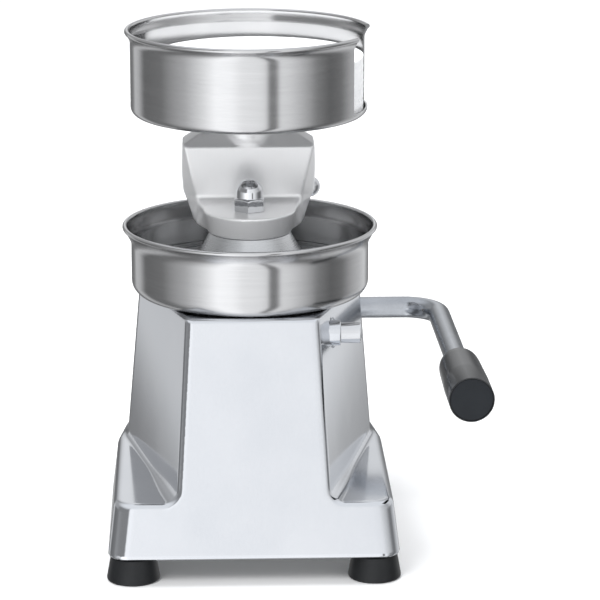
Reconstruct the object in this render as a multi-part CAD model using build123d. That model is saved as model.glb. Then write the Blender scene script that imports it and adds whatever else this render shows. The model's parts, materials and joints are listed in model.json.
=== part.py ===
from build123d import *
import math
import os

# Manual patty press. Millimetres, +Z up, +X to the lever side, +Y to the rear.
# Everything is drawn about the bowl's axis (X = Y = 0) with the floor at Z = 0, and
# each node is moved once, on export, so that the part's origin is the middle of its
# footprint.

# ---- base casting -------------------------------------------------------------
BASE_BOTTOM_Z = 17.0
SKIRT_TOP_Z = 51.0
DECK_Z = 163.0
WALL = 5.0
# Half outlines (x, y) from the front corner round to the rear one.
TOWER_TOP = [(41.6, -75.25), (73.0, 18.0), (70.0, 80.0), (60.0, 125.0), (38.0, 144.0)]
TOWER_AT_SKIRT = [(48.5, -108.85), (83.0, 47.0), (80.0, 82.0), (68.0, 127.0), (46.0, 151.0)]
SKIRT_TOP = [(88.9, -108.85), (88.9, 40.0), (84.0, 76.0), (73.5, 125.0), (50.0, 156.0)]
SKIRT_BOTTOM = [(93.0, -119.05), (93.0, 42.0), (88.0, 80.0), (77.5, 129.0), (53.0, 161.0)]
SKIRT_CORNER_R = 16.0
SKIRT_WIDEST_Z = BASE_BOTTOM_Z + 2.5
TOWER_CORNER_R = 4.0
COLUMN_BOSS_R = 17.0
COLUMN_BOSS_Z = 150.0
COLUMN_BOSS_TOP = 165.5
BRIDGE_Z0, BRIDGE_Z1 = 42.0, 58.0
SHAFT_BOSS_R = 12.5
SHAFT_BOSS_IN = 42.3        # inner face of the right shaft boss
SHAFT_BOSS_OUT = 68.0
SHAFT_BLIND = 46.0          # depth of the left shaft bore, from the middle
SHAFT_BLIND_IN = 32.0       # inner face of the left shaft boss
STUB_BOSS_R = 8.3
STUB_BOSS_OUT = 57.4
STUB_END_X = 70.6
FULCRUM_BLIND = 47.0

# ---- feet and cover -----------------------------------------------------------
FOOT_CENTRES = {"left_front": (-77.0, -102.6), "right_front": (77.0, -102.6),
                "left_rear": (-62.0, 122.0), "right_rear": (62.0, 122.0)}
FOOT_R_BOTTOM = 17.3
FOOT_R_TOP = 14.4           # under the casting's rim
FOOT_NECK_R = 12.4          # inside the rim, up to the cover
COVER_Z = 20.5              # underside of the bottom cover
COVER_T = 2.0
COVER_SCREWS = [(-72.0, -30.0), (72.0, -30.0), (-74.0, 70.0), (74.0, 70.0)]

# ---- bowl, mould and ejector --------------------------------------------------
SHEET_T = 1.2
BOWL_R = 77.7
BOWL_RIM_R = 84.0
BOWL_RIM_Z = 208.0
MOULD_R = 65.0
MOULD_OUTER_R = 76.1
MOULD_FLOOR_Z = 167.0
MOULD_TOP_Z = 180.0
EJECTOR_R = 64.6
EJECTOR_Z = 167.3
EJECTOR_T = 2.5
STEM_R = 6.0
STEM_FOOT_Z = 140.3
STEM_BUSH_R = 9.5
STEM_BUSH_Z = 154.0
BOWL_SCREW_PCD_R = 44.0
BOWL_SCREW_R = 2.5

# ---- press plate and head -----------------------------------------------------
PRESS_R = 62.6
PRESS_Z = 175.0
PRESS_T = 5.0
HEAD_Z = 202.8              # underside of the head's nose
LEDGE_Z = 217.1
FACE_Y = 29.0               # the head's upright front face
HEAD_TOP_Z = 261.0
# Right half outlines (x, y) of the nose at its underside and at the ledge; the first
# point ends its front arc, whose foremost point is given beside it.
NOSE_LOW, NOSE_LOW_FRONT = [(27.5, 3.0), (34.7, 21.5), (36.0, 37.0), (36.0, 55.0)], -26.4
NOSE_HIGH, NOSE_HIGH_FRONT = [(30.5, 5.0), (34.3, 29.0), (36.0, 37.0), (36.0, 55.0)], -28.0
NECK_TOP_R = 26.4
STUD_R = 6.0
HINGE_Y = 98.0
HINGE_Z = 211.0
HINGE_R = 5.0
KNUCKLE_R = 11.0
EAR_IN = 12.4
EAR_OUT = 25.0
EAR_R = 12.0
WASHER_T = 1.5
JAM_NUT_T = 4.5
PIN_HEAD_T = 6.4
# Right halves (x, z) of the head's sections, from its top centre round to its underside.
FULL_Y, REAR_Y, BACK_Y, ARM_Y = FACE_Y + 8.0, 56.0, 68.0, 84.0
HEAD_FACE = [(31.0, 253.2), (42.2, 252.6), (38.6, 236.0), (34.3, LEDGE_Z),
             (34.0, 209.0), (33.0, HEAD_Z)]
HEAD_FULL = [(32.0, HEAD_TOP_Z), (43.6, 254.6), (44.5, 238.0), (43.5, 220.5),
             (39.8, 212.0), (36.0, HEAD_Z)]
HEAD_BACK = [(28.0, HEAD_TOP_Z), (41.0, 254.0), (41.0, 238.0), (37.0, 221.0),
             (33.0, 216.5), (28.0, 214.5)]
HEAD_ARM = [(18.0, 223.0), (24.0, 222.5), (EAR_OUT, 220.5), (EAR_OUT, 215.0),
            (EAR_OUT, 212.5), (24.0, 211.0)]

# ---- paper dish ---------------------------------------------------------------
DISH_Z = 280.5
DISH_R = 77.1
DISH_RIM_R = 81.0
DISH_RIM_Z = 336.0
DISH_GAP_CENTRE = -10.0     # degrees, the middle of the opening in the dish's wall
DISH_GAP_WIDTH = 41.0       # degrees
DISH_Y = 8.0
DISH_BOSS_R = 17.0
DISH_BOSS_Y = 47.0
DISH_SCREW_PCD_R = 11.0
PAPER_R = 69.5
PAPER_TOP_Z = 319.0
PAPER_X = 5.0

# ---- column, crosshead and lever ----------------------------------------------
COLUMN_R = 10.0
COLUMN_FOOT_Z = 28.0
BUSH_COLUMN_R = 13.5
BUSH_SHAFT_R = 10.0
RUNNING = 0.05              # radial clearance of a shaft that turns or slides in a bush
SHAFT_R = 7.5
SHAFT_Y = 128.0
SHAFT_Z = 117.0
CRANK_R = 30.0
CRANK_REST = 35.0           # degrees below level with the lever down
COLUMN_LIFT = 34.93
CROSSHEAD_Z = SHAFT_Z - COLUMN_LIFT / 2
ROLLER_R = 6.0
YOKE_GAP = 0.55
ROLLER_X0, ROLLER_X1 = 14.8, 25.5
CRANK_X0, CRANK_X1 = 26.5, 36.5
CRANK_MID_X = (CRANK_X0 + CRANK_X1) / 2
CRANK_PIN_R = 3.0
CRANK_PIN_BOLT_R = 2.5
CROSS_PIN_R = 2.5
COLLAR_X0, COLLAR_X1 = 37.0, 42.0
BEND_R = 24.0
LEVER_REAR_X = 133.0        # the arm splays a little outward towards the front
LEVER_FRONT_X = 137.8
GRIP_R = 14.6
GRIP_FRONT_Y = -105.0
GRIP_LENGTH = 80.0
SPLAY = math.degrees(math.atan2(LEVER_FRONT_X - LEVER_REAR_X, SHAFT_Y - GRIP_FRONT_Y))

# ---- rocker -------------------------------------------------------------------
FULCRUM_Y = -48.5
FULCRUM_Z = 146.5
FULCRUM_R = 6.75
ROCKER_REST = 17.855        # degrees below level with the lever down
ROCKER_X0, ROCKER_X1 = -27.0, -19.0
TRUNNION_R = 5.0
TRUNNION_GAP = 0.5
PAD_R = 8.0
PAD_Z = 132.0

# ---- shared shapes ------------------------------------------------------------
def post(radius, z0, z1, x=0.0, y=0.0):
    return Pos(x, y, (z0 + z1) / 2) * Cylinder(radius, z1 - z0)


def rod_x(radius, x0, x1, y, z):
    return Pos((x0 + x1) / 2, y, z) * Rot(0, 90, 0) * Cylinder(radius, x1 - x0)


def rod_y(radius, y0, y1, x, z):
    return Pos(x, (y0 + y1) / 2, z) * Rot(90, 0, 0) * Cylinder(radius, y1 - y0)


def block(x0, x1, y0, y1, z0, z1):
    return Pos((x0 + x1) / 2, (y0 + y1) / 2, (z0 + z1) / 2) * Box(x1 - x0, y1 - y0, z1 - z0)


def turned(points):
    """A solid of revolution about Z from a closed (radius, z) outline."""
    return revolve(Plane.XZ * make_face(Polyline(*points, close=True)), Axis.Z)


def mirrored(half):
    """A closed outline from its right half, listed from front to rear."""
    return half + [(-x, y) for x, y in reversed(half)]


def at_height(low, high, z_low, z_high, z):
    """The half outline at height z on the straight line between two others."""
    t = (z - z_low) / (z_high - z_low)
    return [(a + (c - a) * t, b + (d - b) * t) for (a, b), (c, d) in zip(low, high)]


def section(half, z, inset=0.0, corner=0.0):
    face = make_face(Polyline(*mirrored(half), close=True))
    if inset:
        face = offset(face, -inset, kind=Kind.INTERSECTION)
    if corner:
        face = fillet(face.vertices(), corner)
    return Pos(0, 0, z) * face


def screw(radius, head_r, head_h, length):
    """A plain round-headed screw, head below Z = 0 and shank up."""
    head = post(head_r, -head_h, 0)
    head = fillet(head.edges().sort_by(Axis.Z)[0], head_h * 0.45)
    recess = Pos(0, 0, -head_h + 0.6) * extrude(RegularPolygon(head_r * 0.45, 6), -2 * head_h)
    return head - recess + post(radius, 0, length)


def acorn_nut(across_flats, hex_h, dome_r, total_h, bore_r, bore_depth):
    """A domed nut standing on Z = 0."""
    corner_r = across_flats / math.sqrt(3)
    hexagon = extrude(RegularPolygon(across_flats / 2, 6, major_radius=False), hex_h)
    bevel = (corner_r - across_flats / 2) * 0.6
    envelope = turned([(0, 0), (corner_r - bevel / 2, 0), (corner_r, bevel / 2),
                       (corner_r, hex_h - bevel), (across_flats / 2 - 0.2, hex_h), (0, hex_h)])
    dome = post(dome_r, hex_h - 1, total_h - dome_r)
    dome += Pos(0, 0, total_h - dome_r) * Sphere(dome_r)
    dome -= post(dome_r + 1, -dome_r * 2, hex_h - 1)
    return (hexagon & envelope) + dome - post(bore_r, -1, bore_depth)


# ---- base casting -------------------------------------------------------------
def tower_half(z):
    return at_height(TOWER_AT_SKIRT, TOWER_TOP, SKIRT_TOP_Z, DECK_Z, z)


def skirt_half(z):
    return at_height(SKIRT_BOTTOM, SKIRT_TOP, BASE_BOTTOM_Z, SKIRT_TOP_Z, z)


def tower(z_low, z_high, inset=0.0, corner=TOWER_CORNER_R):
    ends = [section(tower_half(z), z, inset, corner) for z in (z_low, z_high)]
    return loft(ends, ruled=True)


def skirt_outer():
    """The skirt with its lower and upper edges rounded over in steps."""
    stations = [(BASE_BOTTOM_Z, 1.6), (BASE_BOTTOM_Z + 0.8, 0.6), (SKIRT_WIDEST_Z, 0.0), (SKIRT_TOP_Z - 4.0, 0.0), (SKIRT_TOP_Z - 2.0, 0.5),
                (SKIRT_TOP_Z - 0.6, 1.9), (SKIRT_TOP_Z, 4.0)]
    sections = [section(skirt_half(z), z, inset, SKIRT_CORNER_R - inset) for z, inset in stations]
    return loft(sections, ruled=True)


def skirt_inner():
    inset = WALL + 1.0
    ends = [section(skirt_half(z), z, inset, SKIRT_CORNER_R - inset)
            for z in (BASE_BOTTOM_Z - 1, SKIRT_TOP_Z - WALL)]
    return loft(ends, ruled=True)


def base_bosses():
    """Everything cast inside the shell, before it is trimmed to the outer faces."""
    bosses = [post(COLUMN_BOSS_R, COLUMN_BOSS_Z, DECK_Z, y=HINGE_Y),
              block(-90, 90, HINGE_Y - 14, HINGE_Y + 14, BRIDGE_Z0, BRIDGE_Z1),
              rod_x(SHAFT_BOSS_R, SHAFT_BOSS_IN, 90, SHAFT_Y, SHAFT_Z),
              rod_x(SHAFT_BOSS_R, -90, -SHAFT_BLIND_IN, SHAFT_Y, SHAFT_Z),
              rod_x(10.0, 40.0, 90, FULCRUM_Y, FULCRUM_Z),
              rod_x(10.0, -90, -40.0, FULCRUM_Y, FULCRUM_Z)]
    for x, y in FOOT_CENTRES.values():
        bosses.append(post(10.5, COVER_Z + COVER_T, SKIRT_TOP_Z - 1, x, y))
        bosses.append(post(FOOT_NECK_R + 5.0, BASE_BOTTOM_Z, COVER_Z, x, y))
    for x, y in COVER_SCREWS:
        bosses.append(post(5.0, COVER_Z + COVER_T, SKIRT_TOP_Z - 1, x, y))
    return bosses


def base_housing():
    tower_outer = tower(BASE_BOTTOM_Z, DECK_Z)
    outer = tower_outer & block(-200, 200, -200, 200, SKIRT_TOP_Z - 8, DECK_Z)
    outer += skirt_outer()
    inner = tower(BASE_BOTTOM_Z - 1, DECK_Z - WALL, inset=WALL, corner=0) + skirt_inner()
    shell = outer - inner
    for boss in base_bosses():
        shell += boss & outer
    shell += post(COLUMN_BOSS_R, DECK_Z - 1, COLUMN_BOSS_TOP, y=HINGE_Y)
    shell += rod_x(SHAFT_BOSS_R, 50, SHAFT_BOSS_OUT, SHAFT_Y, SHAFT_Z)
    shell += rod_x(STUB_BOSS_R, 46, STUB_BOSS_OUT, FULCRUM_Y, FULCRUM_Z)
    shell -= post(BUSH_COLUMN_R, BRIDGE_Z0 - 5, COLUMN_BOSS_TOP + 1, y=HINGE_Y)
    shell -= post(STEM_BUSH_R, DECK_Z - 20, DECK_Z + 1)
    shell -= rod_x(BUSH_SHAFT_R, -SHAFT_BLIND, SHAFT_BOSS_OUT + 1, SHAFT_Y, SHAFT_Z)
    shell -= rod_x(FULCRUM_R, -FULCRUM_BLIND, STUB_BOSS_OUT + 1, FULCRUM_Y, FULCRUM_Z)
    for x, y in FOOT_CENTRES.values():
        shell -= post(3.0, COVER_Z, SKIRT_TOP_Z - 8, x, y)
        shell -= post(FOOT_NECK_R + 0.4, BASE_BOTTOM_Z - 1, COVER_Z, x, y)
    for x, y in COVER_SCREWS:
        shell -= post(2.0, COVER_Z, SKIRT_TOP_Z - 12, x, y)
    for x, y in bowl_screw_places():
        shell -= post(BOWL_SCREW_R + 0.2, DECK_Z - 20, DECK_Z + 1, x, y)
    return shell


def bottom_cover():
    z0, z1 = COVER_Z, COVER_Z + COVER_T
    outline = section(skirt_half(z0), z0, WALL + 2.2, SKIRT_CORNER_R - WALL - 2.2)
    cover = extrude(outline, COVER_T)
    for x, y in FOOT_CENTRES.values():
        cover -= post(3.2, z0 - 1, z1 + 1, x, y)
    for x, y in COVER_SCREWS:
        cover -= post(2.2, z0 - 1, z1 + 1, x, y)
    return cover


def cover_screws():
    one = screw(1.9, 3.8, 2.2, 14.0)
    return Compound([Pos(x, y, COVER_Z) * one for x, y in COVER_SCREWS])


def rubber_foot(x, y):
    foot = turned([(3.2, 8.0), (6.5, 8.0), (6.5, 0), (FOOT_R_BOTTOM - 1.2, 0),
                   (FOOT_R_BOTTOM, 1.6), (FOOT_R_TOP, BASE_BOTTOM_Z - 1.2),
                   (FOOT_NECK_R, BASE_BOTTOM_Z - 0.1), (FOOT_NECK_R - 0.8, COVER_Z), (3.2, COVER_Z)])
    return Pos(x, y, 0) * foot


def foot_screws():
    one = screw(2.9, 5.0, 3.5, 32.0)
    return Compound([Pos(x, y, 8.0) * one for x, y in FOOT_CENTRES.values()])


# ---- bowl, mould and ejector --------------------------------------------------
def bowl_screw_places():
    angles = [math.radians(a) for a in (90, 210, 330)]
    return [(BOWL_SCREW_PCD_R * math.cos(a), BOWL_SCREW_PCD_R * math.sin(a)) for a in angles]


def pressed_sheet(points, radii):
    """A turned sheet-metal form: (radius, z) points of its outer face, sheet inside."""
    outer = FilletPolyline(*points, radius=radii)
    return revolve(Plane.XZ * make_face(offset(outer, SHEET_T, side=Side.LEFT)), Axis.Z)


def rolled_lip(radius, z):
    return Pos(0, 0, z) * Torus(radius, 1.5)


def lower_bowl():
    bowl = pressed_sheet([(12.0, DECK_Z), (BOWL_R, DECK_Z), (BOWL_R, BOWL_RIM_Z - 10),
                          (BOWL_RIM_R - 1.5, BOWL_RIM_Z - 1.5)], [9.0, 12.0])
    bowl += rolled_lip(BOWL_RIM_R - 1.5, BOWL_RIM_Z - 1.5)
    for x, y in bowl_screw_places():
        bowl -= post(BOWL_SCREW_R + 0.2, DECK_Z - 1, DECK_Z + 3, x, y)
    return bowl


def bowl_screws():
    one = screw(BOWL_SCREW_R - 0.05, 4.5, 2.8, WALL + SHEET_T + 2.0)
    return Compound([Pos(x, y, DECK_Z - WALL) * one for x, y in bowl_screw_places()])


def patty_mould():
    floor_z = DECK_Z + SHEET_T
    mould = turned([(STEM_BUSH_R, floor_z), (MOULD_OUTER_R - 9, floor_z),
                    (MOULD_OUTER_R - 4, floor_z + 1.6), (MOULD_OUTER_R - 1.2, floor_z + 5),
                    (MOULD_OUTER_R, floor_z + 9), (MOULD_OUTER_R, MOULD_TOP_Z - 1),
                    (MOULD_OUTER_R - 1, MOULD_TOP_Z), (MOULD_R + 1, MOULD_TOP_Z),
                    (MOULD_R, MOULD_TOP_Z - 1), (MOULD_R, MOULD_FLOOR_Z), (STEM_BUSH_R, MOULD_FLOOR_Z)])
    for x, y in bowl_screw_places():
        mould -= post(BOWL_SCREW_R, floor_z - 1, floor_z + 2.1, x, y)
    return mould


def ejector_disc():
    disc = post(EJECTOR_R, EJECTOR_Z, EJECTOR_Z + EJECTOR_T)
    disc = chamfer(disc.edges(), 0.4)
    return disc - post(STEM_R - 2, EJECTOR_Z - 1, EJECTOR_Z + EJECTOR_T - 1)


def ejector_stem():
    stem = chamfer(post(STEM_R, STEM_FOOT_Z, EJECTOR_Z).edges(), 0.6)
    return stem + post(STEM_R - 2.05, EJECTOR_Z - 1, EJECTOR_Z + EJECTOR_T - 1.05)


def stem_bush():
    bore = post(STEM_R + 0.06, STEM_BUSH_Z - 1, MOULD_FLOOR_Z + 1)
    return post(STEM_BUSH_R, STEM_BUSH_Z, MOULD_FLOOR_Z) - bore


# ---- press plate and head -----------------------------------------------------
def press_plate():
    top_z = PRESS_Z + PRESS_T
    neck_foot_r = NECK_TOP_R + (HEAD_Z - top_z) * math.tan(math.radians(30))
    plate = turned([(0, PRESS_Z), (PRESS_R - 0.6, PRESS_Z), (PRESS_R, PRESS_Z + 0.6),
                    (PRESS_R, top_z - 1.2), (PRESS_R - 1.2, top_z), (neck_foot_r, top_z),
                    (NECK_TOP_R, HEAD_Z), (0, HEAD_Z)])
    return plate - post(STUD_R, PRESS_Z + 10, HEAD_Z + 1)


def press_plate_stud():
    return chamfer(post(STUD_R - 0.03, PRESS_Z + 11, LEDGE_Z + 11).edges(), 0.8)


def stud_acorn_nut():
    return Pos(0, 0, LEDGE_Z) * Rot(0, 0, 24) * acorn_nut(19.0, 8.5, 8.9, 20.5, STUD_R, 12.0)


def nose():
    """The rounded tongue over the press plate, its sides flaring towards the rear."""
    def outline(z, half, front):
        left = [(-x, y) for x, y in half]
        arc = ThreePointArc(left[0], (0, front), half[0])
        return Pos(0, 0, z) * make_face(arc + Polyline(*half, *reversed(left)))
    return loft([outline(HEAD_Z, NOSE_LOW, NOSE_LOW_FRONT),
                 outline(LEDGE_Z, NOSE_HIGH, NOSE_HIGH_FRONT)], ruled=True)


def head_section(y, half):
    """A closed head section at y from its right half (x, z), listed top to bottom."""
    points = half + [(-x, z) for x, z in reversed(half)]
    return Pos(0, y, 0) * (Plane.XZ * make_face(Polyline(*points, close=True)))


def head_block():
    full = head_section(FULL_Y, HEAD_FULL)
    rear = head_section(REAR_Y, HEAD_FULL)
    back = head_section(BACK_Y, HEAD_BACK)
    body = loft([head_section(FACE_Y, HEAD_FACE), full], ruled=True)
    body += loft([full, rear], ruled=True)
    body += loft([rear, back], ruled=True)
    body += loft([back, head_section(ARM_Y, HEAD_ARM)], ruled=True)
    body += nose()
    for side in (-1, 1):
        x0, x1 = sorted((side * EAR_IN, side * EAR_OUT))
        body += rod_x(EAR_R, x0, x1, HINGE_Y, HINGE_Z)
        body += block(x0, x1, 80, HINGE_Y, HINGE_Z + 0.5, HINGE_Z + EAR_R)
    body += post(DISH_BOSS_R, HEAD_TOP_Z - 6, DISH_Z, y=DISH_BOSS_Y)
    body -= block(-EAR_IN, EAR_IN, HINGE_Y - KNUCKLE_R - 2.2, HINGE_Y + 30, 150, 330)
    body -= rod_x(HINGE_R + 0.02, -40, 40, HINGE_Y, HINGE_Z)
    body -= post(STUD_R + 0.3, HEAD_Z - 1, LEDGE_Z + 1)
    for x, y in dish_screw_places():
        body -= post(2.0, DISH_Z - 12, DISH_Z + 1, x, y)
    return body


def on_hinge(piece, x, side=1):
    """A piece drawn along +Z, stood outwards on the hinge's axis at distance x."""
    return Pos(side * x, HINGE_Y, HINGE_Z) * Rot(0, side * 90, 0) * piece


def hinge_pin():
    """A hexagon-headed pin, its head on the left."""
    seat = EAR_OUT + WASHER_T
    end = seat + JAM_NUT_T + 10.0
    head = extrude(RegularPolygon(8.0, 6, major_radius=False), PIN_HEAD_T)
    head &= turned([(0, 0), (9.3, 0), (9.3, PIN_HEAD_T - 1.0), (8.0, PIN_HEAD_T), (0, PIN_HEAD_T)])
    shank = chamfer(rod_x(HINGE_R, -seat - 1, end, HINGE_Y, HINGE_Z).edges(), 0.6)
    return shank + on_hinge(head, seat, -1)


def hinge_washers():
    ring = post(9.5, 0, WASHER_T) - post(HINGE_R + 0.3, -1, 3)
    return Compound([on_hinge(ring, EAR_OUT), on_hinge(ring, EAR_OUT, -1)])


def hinge_jam_nut():
    nut = extrude(RegularPolygon(8.0, 6, major_radius=False), JAM_NUT_T)
    nut &= turned([(0, 0), (8.6, 0), (9.2, 0.6), (9.2, JAM_NUT_T - 0.6), (8.6, JAM_NUT_T),
                   (0, JAM_NUT_T)])
    return on_hinge(nut - post(HINGE_R + 0.02, -1, 9), EAR_OUT + WASHER_T)


def hinge_acorn_nut():
    nut = acorn_nut(16.0, 8.0, 7.0, 19.0, HINGE_R + 0.02, 11.0)
    return on_hinge(nut, EAR_OUT + WASHER_T + JAM_NUT_T)


def dish_screw_places():
    angles = [math.radians(a) for a in (90, 210, 330)]
    return [(DISH_SCREW_PCD_R * math.cos(a), DISH_BOSS_Y + DISH_SCREW_PCD_R * math.sin(a))
            for a in angles]


# ---- paper dish ---------------------------------------------------------------
def dish_gap():
    """The wedge cut out of the dish's wall, seen from above."""
    half = math.radians(DISH_GAP_WIDTH / 2)
    mid = math.radians(DISH_GAP_CENTRE)
    reach = DISH_RIM_R + 20
    corners = [(reach * math.cos(mid + a), reach * math.sin(mid + a)) for a in (-half, half)]
    wedge = extrude(make_face(Polyline((0, 0), *corners, close=True)), DISH_RIM_Z - DISH_Z + 20)
    inner = post(DISH_R - 5.0, -1, DISH_RIM_Z - DISH_Z + 30)
    return Pos(0, 0, DISH_Z + 5.0) * (wedge - inner)


def paper_dish():
    dish = pressed_sheet([(0.01, DISH_Z), (DISH_R, DISH_Z), (DISH_R, DISH_RIM_Z - 7),
                          (DISH_RIM_R - 1.5, DISH_RIM_Z - 1.5)], [5.0, 8.0])
    dish += rolled_lip(DISH_RIM_R - 1.5, DISH_RIM_Z - 1.5)
    dish = Pos(0, DISH_Y, 0) * (dish - dish_gap())
    for x, y in dish_screw_places():
        dish -= post(2.3, DISH_Z - 1, DISH_Z + 3, x, y)
    return dish


def dish_screws():
    one = Rot(180, 0, 0) * screw(1.95, 3.8, 1.8, 11.0)
    return Compound([Pos(x, y, DISH_Z + SHEET_T) * one for x, y in dish_screw_places()])


def paper_stack():
    foot_z = DISH_Z + SHEET_T + 2.0
    return post(PAPER_R, foot_z, PAPER_TOP_Z, PAPER_X, DISH_Y)


# ---- column and crosshead -----------------------------------------------------
def bush(outer_r, inner_r, z0, z1):
    return Pos(0, HINGE_Y, 0) * (post(outer_r, z0, z1) - post(inner_r, z0 - 1, z1 + 1))


def column_upper_bush():
    return bush(BUSH_COLUMN_R, COLUMN_R + RUNNING, COLUMN_BOSS_Z, COLUMN_BOSS_TOP)


def column_lower_bush():
    return bush(BUSH_COLUMN_R, COLUMN_R + RUNNING, BRIDGE_Z0, BRIDGE_Z1)


def column():
    rod = chamfer(post(COLUMN_R, COLUMN_FOOT_Z, HINGE_Z - 6, y=HINGE_Y).edges(), 1.0)
    rod += rod_x(KNUCKLE_R, -EAR_IN + 0.4, EAR_IN - 0.4, HINGE_Y, HINGE_Z)
    rod -= rod_x(HINGE_R + RUNNING, -20, 20, HINGE_Y, HINGE_Z)
    return rod - rod_y(CROSS_PIN_R, HINGE_Y - 20, HINGE_Y + 20, 0, CROSSHEAD_Z)


def crosshead():
    body = block(-14, 14, HINGE_Y - 14, HINGE_Y + 14, CROSSHEAD_Z - 13, CROSSHEAD_Z + 13)
    body = chamfer(body.edges().filter_by(Axis.Z), 2.0)
    fork = block(13, 24, HINGE_Y - 11, HINGE_Y + 14, CROSSHEAD_Z - 13, CROSSHEAD_Z + 13)
    slot = ROLLER_R + YOKE_GAP
    fork -= block(14, 25, HINGE_Y - 7.5, HINGE_Y + 20, CROSSHEAD_Z - slot, CROSSHEAD_Z + slot)
    body += fork
    body -= post(COLUMN_R + 0.02, CROSSHEAD_Z - 20, CROSSHEAD_Z + 20, y=HINGE_Y)
    body -= rod_y(CROSS_PIN_R, HINGE_Y - 20, HINGE_Y + 20, 0, CROSSHEAD_Z)
    return body - rod_x(TRUNNION_R, -20, -10.5, HINGE_Y, CROSSHEAD_Z)


def crosshead_pin():
    pin = rod_y(CROSS_PIN_R - 0.02, HINGE_Y - 13.8, HINGE_Y + 13.8, 0, CROSSHEAD_Z)
    return chamfer(pin.edges(), 0.4)


def trunnion_pin():
    pin = rod_x(TRUNNION_R - 0.02, -29.0, -10.6, HINGE_Y, CROSSHEAD_Z)
    return chamfer(pin.edges(), 0.5)


# ---- lever --------------------------------------------------------------------
def on_arm():
    """From a frame with +Z running up the arm to the front end of the lever."""
    return Pos(LEVER_FRONT_X, GRIP_FRONT_Y, SHAFT_Z) * Rot(0, 0, SPLAY) * Rot(-90, 0, 0)


def lever_bar():
    path = FilletPolyline((-SHAFT_BLIND + 1, SHAFT_Y, SHAFT_Z), (LEVER_REAR_X, SHAFT_Y, SHAFT_Z),
                          (on_arm() * Pos(0, 0, 8)).position, radius=BEND_R)
    profile = Plane(origin=path @ 0, z_dir=path % 0) * Circle(SHAFT_R)
    bar = sweep(profile, path)
    return bar - rod_y(CRANK_PIN_BOLT_R, SHAFT_Y - 20, SHAFT_Y + 20, CRANK_MID_X, SHAFT_Z)


def crank_place():
    a = math.radians(CRANK_REST)
    return SHAFT_Y - CRANK_R * math.cos(a), SHAFT_Z - CRANK_R * math.sin(a)


def crank_arm():
    y, z = crank_place()
    web = make_face(Polyline((SHAFT_Y + 5, SHAFT_Z - 10.5), (SHAFT_Y - 5, SHAFT_Z + 10.5),
                             (y - 4.5, z + 7.5), (y + 4.5, z - 7.5), close=True))
    arm = Plane.YZ.offset(CRANK_X0) * web
    arm = extrude(arm, CRANK_X1 - CRANK_X0)
    arm += rod_x(12.0, CRANK_X0, CRANK_X1, SHAFT_Y, SHAFT_Z)
    arm += rod_x(9.0, CRANK_X0, CRANK_X1, y, z)
    arm -= rod_x(SHAFT_R + 0.02, CRANK_X0 - 1, CRANK_X1 + 1, SHAFT_Y, SHAFT_Z)
    arm -= rod_y(CRANK_PIN_BOLT_R, SHAFT_Y - 20, SHAFT_Y + 20, CRANK_MID_X, SHAFT_Z)
    return arm - rod_x(CRANK_PIN_R, CRANK_X0 - 1, CRANK_X1 + 1, y, z)


def crank_cross_pin():
    pin = rod_y(CRANK_PIN_BOLT_R - 0.02, SHAFT_Y - 11.5, SHAFT_Y + 11.5, CRANK_MID_X, SHAFT_Z)
    return chamfer(pin.edges(), 0.4)


def crank_pin():
    y, z = crank_place()
    return chamfer(rod_x(CRANK_PIN_R - 0.02, ROLLER_X0 - 0.3, CRANK_X1, y, z).edges(), 0.4)


def crank_roller():
    y, z = crank_place()
    roller = rod_x(ROLLER_R, ROLLER_X0, ROLLER_X1, y, z)
    return chamfer(roller.edges(), 0.3) - rod_x(CRANK_PIN_R + RUNNING, 0, 40, y, z)


def shaft_bush(x0, x1):
    bore = rod_x(SHAFT_R + RUNNING, x0 - 1, x1 + 1, SHAFT_Y, SHAFT_Z)
    return rod_x(BUSH_SHAFT_R, x0, x1, SHAFT_Y, SHAFT_Z) - bore


def shaft_collar():
    ring = rod_x(10.8, COLLAR_X0, COLLAR_X1, SHAFT_Y, SHAFT_Z)
    ring -= rod_x(SHAFT_R + 0.02, 0, 90, SHAFT_Y, SHAFT_Z)
    return ring - post(2.0, SHAFT_Z, SHAFT_Z + 20, (COLLAR_X0 + COLLAR_X1) / 2, SHAFT_Y)


def collar_screw():
    z0 = SHAFT_Z + SHAFT_R + 0.05
    return post(1.97, z0, z0 + 3.2, (COLLAR_X0 + COLLAR_X1) / 2, SHAFT_Y)


def grip():
    length = GRIP_LENGTH
    body = turned([(0, 0), (GRIP_R - 0.5, 0), (GRIP_R, 0.5), (GRIP_R, 30), (GRIP_R - 0.6, 60),
                   (GRIP_R - 1.0, length - 8), (GRIP_R - 1.9, length - 4.5),
                   (GRIP_R - 3.6, length - 1.6), (GRIP_R - 5.6, length), (0, length)])
    body -= post(GRIP_R - 0.8, -1, 2.5)
    body -= post(SHAFT_R + 0.02, 2, length + 1)
    return on_arm() * body


def grip_end_cap():
    cap = chamfer(post(GRIP_R - 0.85, 0.2, 2.5).edges(), 0.3)
    plug = post(SHAFT_R - 0.5, 2.4, 7.0)
    return on_arm() * (cap + plug)


# ---- rocker -------------------------------------------------------------------
def rocker_arm():
    a = math.radians(ROCKER_REST)
    to_rear = Plane(origin=(ROCKER_X0, FULCRUM_Y, FULCRUM_Z), x_dir=(0, math.cos(a), -math.sin(a)),
                    z_dir=(1, 0, 0))
    bar = make_face(Polyline((0, -8.5), (126, -8.5), (139, -12), (162, -12), (162, 12), (139, 12),
                             (126, 8.5), (0, 8.5), close=True))
    gap = TRUNNION_R + TRUNNION_GAP
    slot = Pos(151, 0) * Rectangle(24, 2 * gap)
    arm = to_rear * extrude(bar - slot, ROCKER_X1 - ROCKER_X0)
    arm += rod_x(10.4, ROCKER_X0 - 2, -5.0, FULCRUM_Y, FULCRUM_Z)
    arm += rod_x(PAD_R, ROCKER_X0, 8.0, 0, PAD_Z)
    return arm - rod_x(FULCRUM_R + RUNNING, -40, 0, FULCRUM_Y, FULCRUM_Z)


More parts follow.
